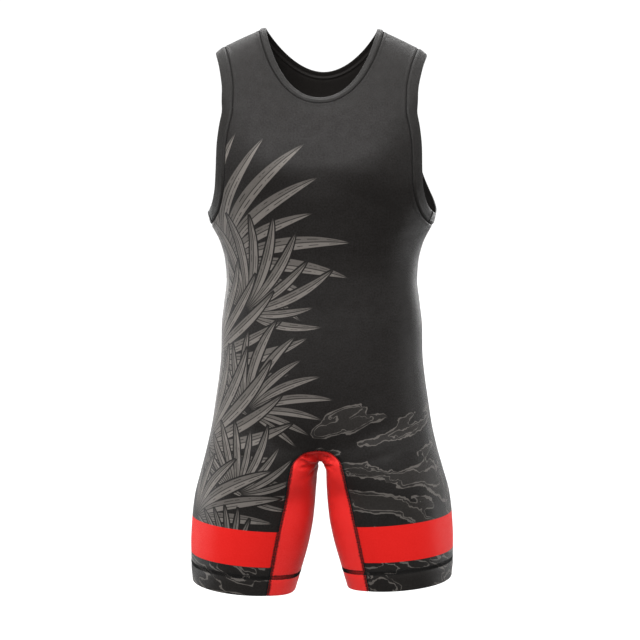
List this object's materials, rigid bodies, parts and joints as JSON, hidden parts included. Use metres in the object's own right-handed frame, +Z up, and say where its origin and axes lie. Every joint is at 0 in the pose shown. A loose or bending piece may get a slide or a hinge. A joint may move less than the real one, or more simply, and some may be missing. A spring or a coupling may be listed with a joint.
{
  "type": "wrestling singlet",
  "caption": "Close-fitting sleeveless one-piece sports suit with a scooped neck, deep armholes, short legs and a contrast crotch gusset, filled out with nobody in it.",
  "frame": {"origin": "midway between the shoulders, level with the tops of the shoulder straps, where the wearer's shoulders hold the garment", "axes": "+Z up, front faces -Y, the wearer's left side is at +X"},
  "size_m": [0.4147, 0.2515, 0.8859],
  "materials": {
    "charcoal_cloth": "smooth matt stretch knit with a soft sheen, printed in grey",
    "red_cloth": "smooth matt stretch knit with a soft sheen",
    "band_cloth": "folded stretch knit, matt",
    "black_thread": "polyester sewing thread, slightly glossy"
  },
  "bodies": {
    "root": {"front_panel": "charcoal_cloth", "back_panel": "charcoal_cloth", "crotch_gusset": "red_cloth", "neck_band": "band_cloth", "armhole_band_left": "band_cloth", "armhole_band_right": "band_cloth"}
  },
  "joints": []
}
